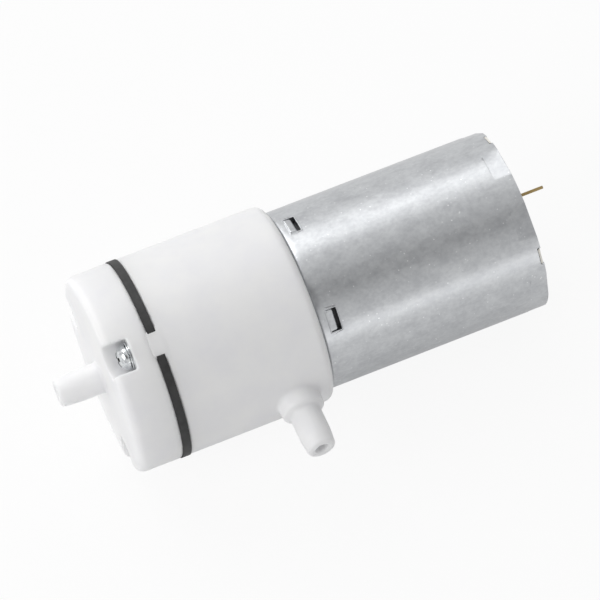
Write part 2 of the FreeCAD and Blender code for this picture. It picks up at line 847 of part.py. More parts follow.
def brush_arm(angle):
    """Bronze leaf from a terminal's side to behind its carbon brush."""
    leaf = (commutator_r + brush_gap + brush_h, commutator_r + brush_gap + brush_h + arm_strip_t)
    across = (-brush_w / 2 - arm_overlap, terminal_r)
    width = (x_brush, x_brush + brush_len)
    beside = terminal_t / 2 / math.cos(math.radians(terminal_turn)) + running_gap
    foot = block((x_brush, x_bell), (terminal_r - arm_strip_t, terminal_r), (beside, leaf[1]))
    return around(joined(foot, [block(width, across, leaf)]), [angle])[0]


def carbon_brush(angle):
    """Carbon block whose hollow face rides on the commutator."""
    deep = (0, commutator_r + brush_gap + brush_h)
    body = block((x_brush, x_brush + brush_len), (-brush_w / 2, brush_w / 2), deep)
    return around(body.cut(rod(commutator_r + brush_gap, x_brush, x_brush + brush_len)), [angle])[0]


def shaft():
    """Steel motor shaft, from the crank to the rear bearing."""
    return rod(shaft_r, x_shaft, x_bell_boss)


parts = {
    "front_cover": front_cover(),
    "valve_plate": valve_plate(),
    "outlet_valve": outlet_valve(),
    "diaphragm": diaphragm(),
    "cup_holder": cup_holder(),
    "pump_housing": pump_housing(),
    "cover_screws": cover_screws(),
    "wobble_plate": wobble_plate(),
    "drive_pin": pin_form(),
    "crank": crank(),
    "motor_can": motor_can(),
    "motor_screws": motor_screws(),
    "front_bearing": bearing(x_bearing),
    "rear_bearing": bearing(x_rear_bearing),
    "magnet_upper": magnet(terminal_angles[0]),
    "magnet_lower": magnet(terminal_angles[1]),
    "magnet_springs": magnet_springs(),
    "shaft": shaft(),
    "armature_core": armature_core(),
    "core_insulators": core_insulators(),
    "commutator_hub": commutator_hub(),
    "commutator_segments": commutator_segments(),
    "thrust_washers": thrust_washers(),
    "end_bell": end_bell(),
}
for i, angle in enumerate(cup_angles):
    parts[f"inlet_valve_{i + 1}"] = inlet_valve(angle)
for i, angle in enumerate(pole_angles()):
    parts[f"coil_{i + 1}"] = coil(angle)
for i, angle in enumerate(terminal_angles):
    parts[f"terminal_{i + 1}"] = terminal(angle)
    parts[f"brush_arm_{i + 1}"] = brush_arm(angle)
    parts[f"carbon_brush_{i + 1}"] = carbon_brush(angle)

os.makedirs("parts", exist_ok=True)
for name, shape in parts.items():
    shape.exportStep(f"parts/{name}.step")
    box = shape.BoundBox
    print(f"{name}: {len(shape.Solids)} solid(s), {shape.Volume:.1f} mm3, x {box.XMin:.2f} to {box.XMax:.2f}")
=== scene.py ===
# %% [markdown]
# # A small diaphragm air pump
# The pump is a white plastic head screwed to a round motor in a steel can. The solids, their places and
# the turning parts come ready made in one frame: X runs along the shaft, Z is up, and lengths are in
# metres. This lesson gives them their surfaces, adds the pieces that need softer or finer forms, and
# sets the light and the camera.

# %% Load the frame
import json
import math
import bpy
from mathutils import Matrix, Vector


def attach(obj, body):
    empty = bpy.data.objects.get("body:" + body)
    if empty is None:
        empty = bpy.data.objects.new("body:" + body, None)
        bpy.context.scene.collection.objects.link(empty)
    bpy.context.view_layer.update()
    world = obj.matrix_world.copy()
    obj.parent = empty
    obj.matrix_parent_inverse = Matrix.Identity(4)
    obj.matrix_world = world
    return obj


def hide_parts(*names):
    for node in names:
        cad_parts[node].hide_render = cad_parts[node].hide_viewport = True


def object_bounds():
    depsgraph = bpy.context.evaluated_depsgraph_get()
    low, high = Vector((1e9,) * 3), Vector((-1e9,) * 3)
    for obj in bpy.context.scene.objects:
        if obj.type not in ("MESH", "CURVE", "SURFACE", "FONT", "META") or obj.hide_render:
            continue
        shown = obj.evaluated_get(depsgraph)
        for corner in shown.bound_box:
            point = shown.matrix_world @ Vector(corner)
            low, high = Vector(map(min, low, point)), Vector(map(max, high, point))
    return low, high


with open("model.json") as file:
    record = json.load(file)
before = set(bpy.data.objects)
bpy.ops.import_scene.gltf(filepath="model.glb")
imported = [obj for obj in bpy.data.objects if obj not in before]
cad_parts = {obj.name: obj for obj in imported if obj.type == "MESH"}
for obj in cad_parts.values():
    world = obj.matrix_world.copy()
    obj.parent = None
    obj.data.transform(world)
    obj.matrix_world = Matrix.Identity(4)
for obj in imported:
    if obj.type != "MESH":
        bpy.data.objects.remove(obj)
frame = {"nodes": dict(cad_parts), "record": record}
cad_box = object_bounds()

nodes = frame["nodes"]

# %% [markdown]
# Sizes are easier to think of in millimetres and angles in degrees, while Blender works in metres and
# radians. The angle of a piece round the shaft is counted from +Y towards +Z.

# %% Units and directions
MM = 0.001


def radial(angle, along=0.0, radius=1.0):
    """Point at an angle round the shaft, in millimetres, given in metres."""
    turn = math.radians(angle)
    return Vector((along, radius * math.cos(turn), radius * math.sin(turn))) * MM


terminal_angles = (102.0, 282.0)
screw_angles = (112.0, 232.0, 352.0)
print("terminals at", terminal_angles, "cover screws at", screw_angles)

# %% [markdown]
# ## Camera
# The pump lies with its shaft level, and the photograph looks down on it from the inlet's side with a
# long lens, the shaft rising to the upper right. The camera's own axes are worked out from those two
# facts: `back` points from the pump to the camera and `along` is the shaft as the picture shows it.

# %% Camera
# The camera stands 9 degrees ahead of square to the shaft, towards the outlet nozzle.
ahead = math.radians(9)
sideways, upwards = -0.469, 0.883
back = Vector((-math.sin(ahead), sideways * math.cos(ahead), upwards * math.cos(ahead))).normalized()
along = (Vector((1, 0, 0)) - back * back.x).normalized()
across = back.cross(along)
roll = math.radians(21.1)
right = along * math.cos(roll) - across * math.sin(roll)
up = along * math.sin(roll) + across * math.cos(roll)

target = Vector((0.0006, 0, 0))
camera_distance = 0.632
bpy.ops.object.camera_add(location=target + back * camera_distance)
camera = bpy.context.object
camera.name = "photo_camera"
camera.rotation_euler = Matrix((right, up, back)).transposed().to_euler()
camera.data.lens = 291
camera.data.sensor_width = 36
camera.data.clip_start = 0.01
bpy.context.scene.camera = camera
print("camera at", [round(v, 3) for v in camera.location])

# %% [markdown]
# ## Helpers for materials
# A finish is a small graph of nodes. One helper turns a hex colour, as a screen shows it, into the linear
# numbers that the shader wants, and one adds a node with its settings and links.

# %% Colour and node helpers
def colour(code):
    """Linear RGBA from an sRGB hex colour."""
    parts = [int(code[i:i + 2], 16) / 255 for i in (1, 3, 5)]
    return [c / 12.92 if c <= 0.04045 else ((c + 0.055) / 1.055) ** 2.4 for c in parts] + [1.0]


def add(tree, kind, links=(), **settings):
    """Add a node: settings are its properties or, where they name one, its sockets' values."""
    node = tree.nodes.new(kind)
    for key, value in settings.items():
        if hasattr(node, key):
            setattr(node, key, value)
        else:
            node.inputs[key.replace("_", " ")].default_value = value
    for socket, source in dict(links).items():
        tree.links.new(source, node.inputs[socket])
    return node


def new_finish(name, code, roughness, metallic=0.0, ior=None):
    """Material with its shader's constants set, and the object's own coordinates to pattern it with."""
    finish = bpy.data.materials.new(name)
    finish.use_nodes = True
    tree = finish.node_tree
    shader = tree.nodes["Principled BSDF"]
    shader.inputs["Base Color"].default_value = colour(code)
    shader.inputs["Roughness"].default_value = roughness
    shader.inputs["Metallic"].default_value = metallic
    if ior:
        shader.inputs["IOR"].default_value = ior
    place = add(tree, "ShaderNodeTexCoord").outputs["Object"]
    return finish, tree, shader, place


def cloud(tree, place, size, stretch=1.0, detail=4.0):
    """Soft noise whose blots are about size millimetres wide, longer along the shaft by stretch."""
    spread = add(tree, "ShaderNodeMapping", {"Vector": place})
    spread.inputs["Scale"].default_value = (1 / stretch, 1, 1)
    noise = add(tree, "ShaderNodeTexNoise", {"Vector": spread.outputs["Vector"]},
                Scale=1 / (size * MM), Detail=detail, Roughness=0.55)
    return noise.outputs["Fac"]


def between(tree, factor, low, high, first, last):
    """Colours from first to last as a factor goes from low to high."""
    ramp = add(tree, "ShaderNodeValToRGB", {"Fac": factor})
    ramp.color_ramp.elements[0].position = low
    ramp.color_ramp.elements[0].color = colour(first)
    ramp.color_ramp.elements[1].position = high
    ramp.color_ramp.elements[1].color = colour(last)
    return ramp.outputs["Color"]


def spread_to(tree, factor, low, high, first, last):
    """Plain number that goes from first to last as a factor goes from low to high."""
    span = add(tree, "ShaderNodeMapRange", {"Value": factor})
    for socket, value in zip(("From Min", "From Max", "To Min", "To Max"), (low, high, first, last)):
        span.inputs[socket].default_value = value
    return span.outputs["Result"]


def emboss(tree, shader, height, depth):
    """Turn a height pattern of the given depth in millimetres into bumps."""
    bump = add(tree, "ShaderNodeBump", {"Height": height}, Strength=1.0, Distance=depth * MM)
    tree.links.new(bump.outputs["Normal"], shader.inputs["Normal"])


# %% [markdown]
# ## White moulded plastic
# The head is injection-moulded ABS, milky and a little see-through in thin walls, with the faint grain
# of a spark-eroded mould. To the eye it is a soft white with a broad satin sheen, slightly cloudy, with
# a few tiny dark specks of dust. Grain finer than the picture shows is drawn 0.25 mm wide.

# %% Moulded ABS
abs_white, tree, shader, place = new_finish("moulded_abs_white", "#F1F1F2", 0.42, ior=1.53)
milky = between(tree, cloud(tree, place, 5.0), 0.35, 0.65, "#F0F0F2", "#F4F4F4")
dust = add(tree, "ShaderNodeTexVoronoi", {"Vector": place}, Scale=1 / (2.6 * MM))
speck = spread_to(tree, dust.outputs["Distance"], 0.028, 0.045, 1.0, 0.0)
rare = spread_to(tree, cloud(tree, place, 6.0), 0.60, 0.62, 0.0, 1.0)
few = add(tree, "ShaderNodeMath", {0: speck, 1: rare}, operation="MULTIPLY")
shade = add(tree, "ShaderNodeMix", {"Factor": few.outputs[0]}, data_type="RGBA")
tree.links.new(milky, shade.inputs[6])
shade.inputs[7].default_value = colour("#9C9894")
tree.links.new(shade.outputs[2], shader.inputs["Base Color"])
tree.links.new(spread_to(tree, cloud(tree, place, 1.2), 0.3, 0.7, 0.38, 0.48), shader.inputs["Roughness"])
shader.inputs["Subsurface Weight"].default_value = 0.6
shader.inputs["Subsurface Radius"].default_value = (1.0, 1.0, 1.0)
shader.inputs["Subsurface Scale"].default_value = 2.0 * MM
emboss(tree, shader, cloud(tree, place, 0.25, detail=2.0), 0.004)
print("finish:", abs_white.name)

# %% [markdown]
# ## Zinc-plated steel
# The can is drawn from sheet and barrel-plated with zinc. The drawing leaves faint lines along the
# shaft, and the plating grows in patches, so the sheen is mottled in spots from half a millimetre to a
# few millimetres, with tiny bright knocks where cans rubbed in the barrel. A metal's colour is its
# reflection, so the mottling is put mostly into roughness and the height of the surface.

# %% Plated can
zinc, tree, shader, place = new_finish("zinc_plated_drawn_steel", "#C6C8CB", 0.34, metallic=1.0)
patches = cloud(tree, place, 1.6, stretch=1.6, detail=6.0)
fine = cloud(tree, place, 0.45, stretch=1.2, detail=5.0)
lines = cloud(tree, place, 0.5, stretch=40.0, detail=3.0)
knocks = add(tree, "ShaderNodeTexVoronoi", {"Vector": place}, Scale=1 / (0.7 * MM))
bright = spread_to(tree, knocks.outputs["Distance"], 0.06, 0.18, 1.0, 0.0)
some = spread_to(tree, cloud(tree, place, 2.5), 0.46, 0.6, 0.0, 1.0)
rubbed = add(tree, "ShaderNodeMath", {0: bright, 1: some}, operation="MULTIPLY").outputs[0]
mottled = add(tree, "ShaderNodeMix", {"A": patches, "B": fine}, data_type="FLOAT", Factor=0.45).outputs[0]
plated = between(tree, mottled, 0.38, 0.62, "#BDBFC2", "#CFD1D3")
knocked = add(tree, "ShaderNodeMix", {"Factor": rubbed}, data_type="RGBA")
tree.links.new(plated, knocked.inputs[6])
knocked.inputs[7].default_value = colour("#F0F1F2")
tree.links.new(knocked.outputs[2], shader.inputs["Base Color"])
rough = add(tree, "ShaderNodeMix", {"A": mottled, "B": lines}, data_type="FLOAT", Factor=0.3).outputs[0]
tree.links.new(spread_to(tree, rough, 0.35, 0.65, 0.28, 0.36), shader.inputs["Roughness"])
height = add(tree, "ShaderNodeMix", {"A": mottled, "B": lines}, data_type="FLOAT", Factor=0.35).outputs[0]
emboss(tree, shader, height, 0.007)
print("finish:", zinc.name)

# %% [markdown]
# ## Rubber and screws
# The seal is black EPDM, pressed in a blasted mould: near black, matt, with a grey bloom. The small
# valves inside are clear silicone. The screws are bright zinc over steel, as smooth as a mirror but for
# the scuffs of the driver, and the driver's recess is coloured near black as painted shade.

# %% Rubber and bright screws
rubber, tree, shader, place = new_finish("pressed_epdm_black", "#272727", 0.6, ior=1.5)
bloom = between(tree, cloud(tree, place, 1.0), 0.35, 0.7, "#222222", "#333333")
tree.links.new(bloom, shader.inputs["Base Color"])
emboss(tree, shader, cloud(tree, place, 0.3), 0.01)

silicone, tree, shader, place = new_finish("pressed_silicone_clear", "#D9D8D2", 0.5, ior=1.41)
cloudy = between(tree, cloud(tree, place, 1.5), 0.35, 0.65, "#D2D1CB", "#DFDED9")
tree.links.new(cloudy, shader.inputs["Base Color"])
shader.inputs["Subsurface Weight"].default_value = 0.3
shader.inputs["Subsurface Scale"].default_value = 0.8 * MM

bright_zinc, tree, shader, place = new_finish("bright_zinc_screw", "#DFE1E3", 0.14, metallic=1.0)
scuffs = cloud(tree, place, 0.4)
tree.links.new(between(tree, scuffs, 0.35, 0.6, "#C9CCCF", "#E8EAEB"), shader.inputs["Base Color"])
tree.links.new(spread_to(tree, scuffs, 0.35, 0.65, 0.1, 0.24), shader.inputs["Roughness"])
emboss(tree, shader, scuffs, 0.004)

# Painted shade: the screws' cross recess is coloured near black so that it reads as shadow.
recess_shade, tree, shader, place = new_finish("painted_recess_shade", "#242526", 0.4)
recess_shade_tone = between(tree, cloud(tree, place, 0.3), 0.35, 0.65, "#1C1D1E", "#303133")
tree.links.new(recess_shade_tone, shader.inputs["Base Color"])
print("finishes:", rubber.name, silicone.name, bright_zinc.name, recess_shade.name)

# %% [markdown]
# ## The other metals
# Ground steel for the shaft, blued laminations for the armature, brass tags, bronze bearings and leaves,
# and enamelled copper wire. Each is a metal with its own colour and a fine streaked or grained sheen.
# The windings are drawn as ridges 0.3 mm apart round each coil, with painted shade in the grooves.

# %% Turned, stamped and wound metals
metals = {
    "ground_steel": ("#B9BABB", "#CBCCCD", 0.22, 0.2, 12.0),
    "blued_laminations": ("#5E6063", "#7A7C80", 0.38, 0.35, 1.0),
    "sintered_bronze": ("#9C7C55", "#B59468", 0.46, 0.3, 1.0),
    "stamped_brass": ("#8C7850", "#B39C6C", 0.33, 0.8, 3.0),
    "drawn_copper": ("#B8704C", "#CE8A63", 0.3, 0.5, 4.0),
}
finishes = {}
for name, (dark, light, rough_value, size, stretch) in metals.items():
    finish, tree, shader, place = new_finish(name, light, rough_value, metallic=1.0)
    grain = cloud(tree, place, size, stretch=stretch)
    tree.links.new(between(tree, grain, 0.35, 0.65, dark, light), shader.inputs["Base Color"])
    tree.links.new(spread_to(tree, grain, 0.3, 0.7, rough_value - 0.06, rough_value + 0.08),
                   shader.inputs["Roughness"])
    emboss(tree, shader, grain, 0.006)
    finishes[name] = finish

wire, tree, shader, place = new_finish("enamelled_copper_wire", "#A85E36", 0.28, metallic=0.85)
wire_pitch = 0.3 * MM
# The node's bands repeat every 2 pi / (20 * Scale).
turns = add(tree, "ShaderNodeTexWave", {"Vector": place}, wave_type="BANDS", bands_direction="X",
            Scale=2 * math.pi / (20 * wire_pitch), Distortion=0.6, Detail=1.0)
# Painted shade: the wire's colour darkens in the grooves between turns, following the ridges.
groove_shaded_enamel = between(tree, turns.outputs["Fac"], 0.1, 0.7, "#6E3415", "#C07848")
tree.links.new(groove_shaded_enamel, shader.inputs["Base Color"])
emboss(tree, shader, turns.outputs["Fac"], 0.08)
finishes[wire.name] = wire
print("metals:", ", ".join(finishes))

# %% [markdown]
# ## The other plastics, ferrite and carbon
# Nylon for the rear closure, acetal for the crank and the wobble plate, dark resin for the armature's
# cards and hub, sintered ferrite for the magnets and pressed graphite for the brushes. They are matt to
# satin, and each has a little grain and cloudiness of its own.

# %% Moulded and sintered finishes
others = {
    "moulded_nylon": ("#E6E3DA", "#ECE9E1", 0.45, 6.0, 0.004),
    "moulded_acetal": ("#D3D3CF", "#E0E0DC", 0.38, 2.0, 0.003),
    "moulded_dark_resin": ("#1D1D1F", "#2B2B2E", 0.5, 0.8, 0.006),
    "sintered_ferrite": ("#2E2F31", "#434447", 0.62, 0.4, 0.02),
    "pressed_graphite": ("#1A1A1B", "#2C2C2E", 0.48, 0.2, 0.012),
}
for name, (dark, light, rough_value, size, depth) in others.items():
    finish, tree, shader, place = new_finish(name, light, rough_value, ior=1.5)
    grain = cloud(tree, place, size)
    tree.links.new(between(tree, grain, 0.35, 0.65, dark, light), shader.inputs["Base Color"])
    tree.links.new(spread_to(tree, grain, 0.3, 0.7, rough_value - 0.06, rough_value + 0.06),
                   shader.inputs["Roughness"])
    emboss(tree, shader, cloud(tree, place, 0.25), depth)
    finishes[name] = finish
first_finishes = (abs_white, zinc, rubber, silicone, bright_zinc, recess_shade)
print("all finishes:", len(finishes) + len(first_finishes))

# %% [markdown]
# Each solid of the frame takes the finish that its record names as a slot.

# %% Dress the solids
by_slot = {
    "white_plastic": abs_white, "nylon": finishes["moulded_nylon"], "black_rubber": rubber,
    "clear_rubber": silicone, "can_steel": zinc, "screw_chrome": bright_zinc,
    "steel": finishes["ground_steel"], "lamination_steel": finishes["blued_laminations"],
    "ferrite": finishes["sintered_ferrite"], "carbon": finishes["pressed_graphite"],
    "bronze": finishes["sintered_bronze"], "brass": finishes["stamped_brass"],
    "copper": finishes["enamelled_copper_wire"], "dark_plastic": finishes["moulded_dark_resin"],
    "grey_acetal": finishes["moulded_acetal"],
}
for part in frame["record"]["subparts"]:
    solid = nodes[part["node"]]
    solid.data.materials.clear()
    solid.data.materials.append(by_slot[part["material_slot"]])
nodes["commutator_segments"].data.materials[0] = finishes["drawn_copper"]
print("dressed", len(nodes), "solids")

# %% [markdown]
# ## Ways of working
# Round pieces are drawn as a profile from one vertex, extruded point by point, and spun about the shaft.
# Holes and pockets are cut by booleans with simple bodies. Moulded plastic has no sharp edge anywhere,
# so its pieces are remeshed in fine voxels, which also melts their lumps into one, and then smoothed.
# Sheet metal keeps crisper edges, which a narrow bevel gives.

# %% Helpers for modelling
def arc(x, r, radius, start, end, count=6):
    """Points of an arc in a profile, about a centre, in millimetres and degrees."""
    angles = [math.radians(start + (end - start) * i / count) for i in range(count + 1)]
    return [(x + radius * math.cos(a), r + radius * math.sin(a)) for a in angles]


def edit(kind="VERT", select="SELECT"):
    """Go to edit mode on the active piece, to pick vertices or edges, with all of it selected or nothing."""
    bpy.ops.object.mode_set(mode="EDIT")
    bpy.ops.mesh.select_mode(type=kind)
    bpy.ops.mesh.select_all(action=select)


def turned_piece(name, profile, steps=160):
    """Spin a closed profile of (x, radius) points in millimetres about the shaft."""
    bpy.ops.object.select_all(action="DESELECT")
    bpy.ops.mesh.primitive_plane_add(size=MM, location=(0, 0, 0))
    piece = bpy.context.object
    piece.name = name
    edit()
    bpy.ops.mesh.merge(type="CENTER")
    bpy.ops.transform.translate(value=(profile[0][0] * MM, profile[0][1] * MM, 0))
    for (x0, r0), (x1, r1) in zip(profile, profile[1:] + profile[:1]):
        bpy.ops.mesh.extrude_region_move(
            TRANSFORM_OT_translate={"value": ((x1 - x0) * MM, (r1 - r0) * MM, 0)})
    bpy.ops.mesh.select_all(action="SELECT")
    bpy.ops.mesh.remove_doubles(threshold=0.001 * MM)
    bpy.ops.mesh.select_all(action="SELECT")
    bpy.ops.mesh.spin(steps=steps, angle=2 * math.pi, center=(0, 0, 0), axis=(1, 0, 0))
    bpy.ops.mesh.select_all(action="SELECT")
    bpy.ops.mesh.remove_doubles(threshold=0.001 * MM)
    bpy.ops.mesh.normals_make_consistent(inside=False)
    bpy.ops.object.mode_set(mode="OBJECT")
    return piece


def box_piece(name, x, y, z):
    """Block between pairs of limits in millimetres."""
    bpy.ops.object.select_all(action="DESELECT")
    middle = [sum(pair) / 2 * MM for pair in (x, y, z)]
    bpy.ops.mesh.primitive_cube_add(size=1, location=middle, scale=[(b - a) * MM for a, b in (x, y, z)])
    bpy.ops.object.transform_apply(location=True, rotation=True, scale=True)
    bpy.context.object.name = name
    return bpy.context.object


def rod_piece(name, radius, x, off=0.0, vertices=64):
    """Round bar along the shaft in millimetres, its middle moved off the axis towards +Y."""
    bpy.ops.object.select_all(action="DESELECT")
    bpy.ops.mesh.primitive_cylinder_add(vertices=vertices, radius=radius * MM, depth=(x[1] - x[0]) * MM,
                                        location=(sum(x) / 2 * MM, off * MM, 0), rotation=(0, math.pi / 2, 0))
    bpy.ops.object.transform_apply(location=True, rotation=True, scale=True)
    bpy.context.object.name = name
    return bpy.context.object


def lay(piece, turn=(0, 0, 0), move=(0, 0, 0)):
    """Turn a piece about the origin in degrees, move it in millimetres, and keep that in its mesh."""
    bpy.ops.object.select_all(action="DESELECT")
    piece.select_set(True)
    bpy.context.view_layer.objects.active = piece
    piece.rotation_euler = [math.radians(a) for a in turn]
    piece.location = Vector(move) * MM
    bpy.ops.object.transform_apply(location=True, rotation=True, scale=True)
    return piece


def twin(piece, name, turn):
    """Copy of a piece with its own mesh, turned about the shaft."""
    copy = piece.copy()
    copy.data = piece.data.copy()
    copy.name = name
    bpy.context.collection.objects.link(copy)
    return lay(copy, turn=(turn, 0, 0))


def bake(piece, kind, **settings):
    """Add a modifier with its settings and apply it."""
    bpy.ops.object.select_all(action="DESELECT")
    piece.select_set(True)
    bpy.context.view_layer.objects.active = piece
    modifier = piece.modifiers.new(kind.lower(), kind)
    for key, value in settings.items():
        setattr(modifier, key, value)
    bpy.ops.object.modifier_apply(modifier=modifier.name)


def round_edges(piece, chosen, radius, segments):
    """Bevel the edges whose two ends, in millimetres, pass a test."""
    bpy.ops.object.select_all(action="DESELECT")
    piece.select_set(True)
    bpy.context.view_layer.objects.active = piece
    edit("EDGE", "DESELECT")
    bpy.ops.object.mode_set(mode="OBJECT")
    for side in piece.data.edges:
        first, last = (piece.data.vertices[i].co / MM for i in side.vertices)
        side.select = chosen(first, last)
    bpy.ops.object.mode_set(mode="EDIT")
    bpy.ops.mesh.bevel(offset=radius * MM, segments=segments)
    bpy.ops.object.mode_set(mode="OBJECT")


def cut(piece, tool, operation="DIFFERENCE", faces="INDEX"):
    """Cut a piece with a tool, whose finish the new faces may take, and throw the tool away."""
    bake(piece, "BOOLEAN", operation=operation, solver="EXACT", material_mode=faces, object=tool)
    bpy.data.objects.remove(tool)


def gather(piece, others):
    """Join other pieces into one."""
    bpy.ops.object.select_all(action="DESELECT")
    for other in [*others, piece]:
        other.select_set(True)
    bpy.context.view_layer.objects.active = piece
    bpy.ops.object.join()


def mould(piece, voxel, rounds):
    """Melt a piece's lumps into one skin with soft edges, as moulded plastic has."""
    bake(piece, "REMESH", mode="VOXEL", voxel_size=voxel * MM)
    bake(piece, "SMOOTH", factor=0.5, iterations=rounds)


def hand_over(piece, finish, slot, *solids, body="pump"):
    """Give a finished piece its surface, and let it stand for its solids."""
    bpy.ops.object.select_all(action="DESELECT")
    piece.select_set(True)
    bpy.context.view_layer.objects.active = piece
    if not piece.data.materials:
        piece.data.materials.append(finish)
    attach(piece, body)
    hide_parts(*solids)
    piece.data.calc_loop_triangles()
    print(piece.name, len(piece.data.loop_triangles), "triangles")


# %% [markdown]
# ## The cover
# The white cover carries the outlet nozzle on its face and hides the two air chambers behind it. Three
# pockets, open to the front and to the side, take the screws' heads. Its face and rim are turned as one
# profile, the screw posts are melted in, the pockets are cut, and a second melt softens every edge.

# %% Cover
face_x, joint_x, plate_x, chamber_x, pocket_x = -27.3, -21.35, -23.35, -25.8, -24.1
head_r, nozzle_r, bore_r, screw_circle = 13.5, 2.1, 0.9, 11.3
post_r, pocket_half, screw_hole_r, cover_voxel = 2.5, 2.1, 1.15, 0.17
plate_r, inlet_chamber_r, chamber_wall_r, outlet_chamber_r = 12.05, 8.4, 4.8, 3.9
tip_middle_r, tip_round, root_round, flat_face_r, pocket_round = 1.53, 0.4, 0.3, 7.0, 2.05
cover = turned_piece("cover_shell", [
    (-33.5, bore_r), *arc(-33.1, tip_middle_r, tip_round, 180, 90, 3), (-30.6, nozzle_r),
    (face_x - root_round, nozzle_r),
    *arc(face_x - root_round, nozzle_r + root_round, root_round, -90, 0, 3), (face_x, flat_face_r),
    *arc(face_x + 1, head_r - 1, 1, 180, 90),
    (joint_x, head_r), (joint_x, plate_r), (plate_x, plate_r), (plate_x, inlet_chamber_r),
    (chamber_x, inlet_chamber_r), (chamber_x, chamber_wall_r), (plate_x, chamber_wall_r),
    (plate_x, outlet_chamber_r), (chamber_x, outlet_chamber_r), (chamber_x, bore_r),
])
for angle in screw_angles:
    post = rod_piece("post", post_r, (plate_x - 0.3, joint_x), screw_circle)
    cut(post, rod_piece("limit", head_r, (plate_x - 1, joint_x + 1), vertices=160), "INTERSECT")
    gather(cover, [lay(post, turn=(angle, 0, 0))])
mould(cover, cover_voxel, 3)
for angle in screw_angles:
    pocket = box_piece("pocket", (face_x - 2, pocket_x), (screw_circle - pocket_half, head_r + 3),
                       (-pocket_half, pocket_half))
    round_edges(pocket, lambda a, b: max(a.y, b.y) < screw_circle and abs(a.x - b.x) > 1, pocket_round, 12)
    cut(cover, lay(pocket, turn=(angle, 0, 0)))
    hole = rod_piece("hole", screw_hole_r, (pocket_x - 1, joint_x + 1), screw_circle)
    cut(cover, lay(hole, turn=(angle, 0, 0)))
mould(cover, cover_voxel, 3)
bpy.ops.object.shade_smooth()
hand_over(cover, abs_white, "white_plastic", "front_cover")

# %% [markdown]
# ## The crankcase
# The housing is a cup whose rim the screw posts bridge to reach the cover, with the inlet nozzle on a
# round boss near the motor. The boss and nozzle are spun about the shaft, turned to point to -Y and
# melted in. Over each post a low bridge stands a tenth of a millimetre proud and covers the ends of the
# rubber on both sides of it.

# %% Crankcase
case_x, ledge_x, wall_x, inlet_x = -20.25, -17.75, -2.0, -5.25
boss_r, pilot_r, bridge_half, bridge_rise, case_voxel = 2.9, 1.0, 1.8, 0.11, 0.21
mouth_r, can_seat_r, case_inner_r = 12.1, 3.15, 11.5
motor_screw_angles, motor_screw_circle, motor_screw_hole_r = (12, 192), 8.5, 1.4
case = turned_piece("crankcase_shell", [
    (case_x, mouth_r), (case_x, head_r), *arc(-1.15, head_r - 1.15, 1.15, 90, 0), (0, can_seat_r),
    (wall_x, can_seat_r), (wall_x, case_inner_r), (ledge_x, case_inner_r), (ledge_x, mouth_r),
])
inlet_hole = lay(rod_piece("inlet_hole", bore_r, (10, 15)), turn=(0, 0, -90), move=(inlet_x, 0, 0))
cut(case, inlet_hole)
for angle in motor_screw_angles:
    hole = rod_piece("motor_screw_hole", motor_screw_hole_r, (wall_x - 1, 1), motor_screw_circle)
    cut(case, lay(hole, turn=(angle, 0, 0)))
inlet = turned_piece("inlet", [
    (11.8, bore_r), (11.8, boss_r), (15.05, boss_r), *arc(15.05, 2.45, 0.45, 90, 0, 3), (15.5, 2.4),
    *arc(15.8, 2.4, root_round, 180, 270, 3), (19.2, nozzle_r),
    *arc(21.0, tip_middle_r, tip_round, 90, 0, 3), (21.4, bore_r),
], steps=72)
lumps = [lay(inlet, turn=(0, 0, -90), move=(inlet_x, 0, 0))]
for angle in screw_angles:
    post = rod_piece("post", post_r, (joint_x, -10.25), screw_circle)
    cut(post, rod_piece("limit", head_r, (joint_x - 1, 0), vertices=160), "INTERSECT")
    cut(post, rod_piece("pilot", pilot_r, (joint_x - 1, -11.7), screw_circle))
    bridge = box_piece("bridge", (joint_x - 0.45, case_x + 0.5), (12.4, 14), (-bridge_half, bridge_half))
    cut(bridge, rod_piece("limit", head_r + bridge_rise, (joint_x - 1, 0), vertices=160), "INTERSECT")
    lumps += [lay(post, turn=(angle, 0, 0)), lay(bridge, turn=(angle, 0, 0))]
gather(case, lumps)
mould(case, case_voxel, 4)
bpy.ops.object.shade_smooth()
hand_over(case, abs_white, "white_plastic", "pump_housing")

# %% [markdown]
# ## The motor can
# The can is deep-drawn: a tube with a rounded front, a boss for the bearing, four lanced windows whose
# tabs bend in before the magnets' ends, four notches in the rear rim, and flats where the rim is staked
# beside each notch. The lancing throws up a low burr round each window. The flats start with a step of a
# fifth of a millimetre and slope very slightly towards the rim, so they break the can's reflections.

# %% Can
can_r, can_inner_r, can_len = 12.2, 11.4, 30.6
shaft_hole_r, can_boss_r, bearing_seat_r = 1.4, 3.1, 2.5
# Rings of vertices near the windows and the rim keep the cuts from upsetting the tube's long faces.
front_ring, rear_ring = 2.8, can_len - 2.6
window_x, window_spread, window_half, wall_cut = (1.24, 2.64), 34.65, 1.55, (10.6, 13)
burr_x, burr_half, burr_rise = (1.1, 2.78), 1.69, 0.07
notch_half, stake_spread, stake_r, stake_slope = 1.1, 24, 11.99, 0.8
tab_r, tab_slope = 12.26, 9
can = turned_piece("can_shell", [
    (-1.5, shaft_hole_r), (-1.5, can_boss_r), (0, can_boss_r), *arc(0.4, can_r - 0.4, 0.4, 180, 90, 5),
    (1.1, can_r), (front_ring, can_r), (rear_ring, can_r), (can_len - 0.5, can_r), (can_len, can_r),
    (can_len, can_inner_r), (rear_ring, can_inner_r), (front_ring, can_inner_r), (0.8, can_inner_r),
    (0.8, bearing_seat_r), (-1.2, bearing_seat_r), (-1.2, shaft_hole_r),
], steps=192)
window_angles = [angle + side * window_spread for angle in terminal_angles for side in (-1, 1)]
notch_angles = [57, 147, 237, 327]
for angle in window_angles:
    burr = box_piece("burr", burr_x, (11.6, 13), (-burr_half, burr_half))
    cut(burr, rod_piece("limit", can_r + burr_rise, (0, 4), vertices=192), "INTERSECT")
    cut(can, lay(burr, turn=(angle, 0, 0)), "UNION")
    window = box_piece("window", window_x, wall_cut, (-window_half, window_half))
    cut(can, lay(window, turn=(angle, 0, 0)))
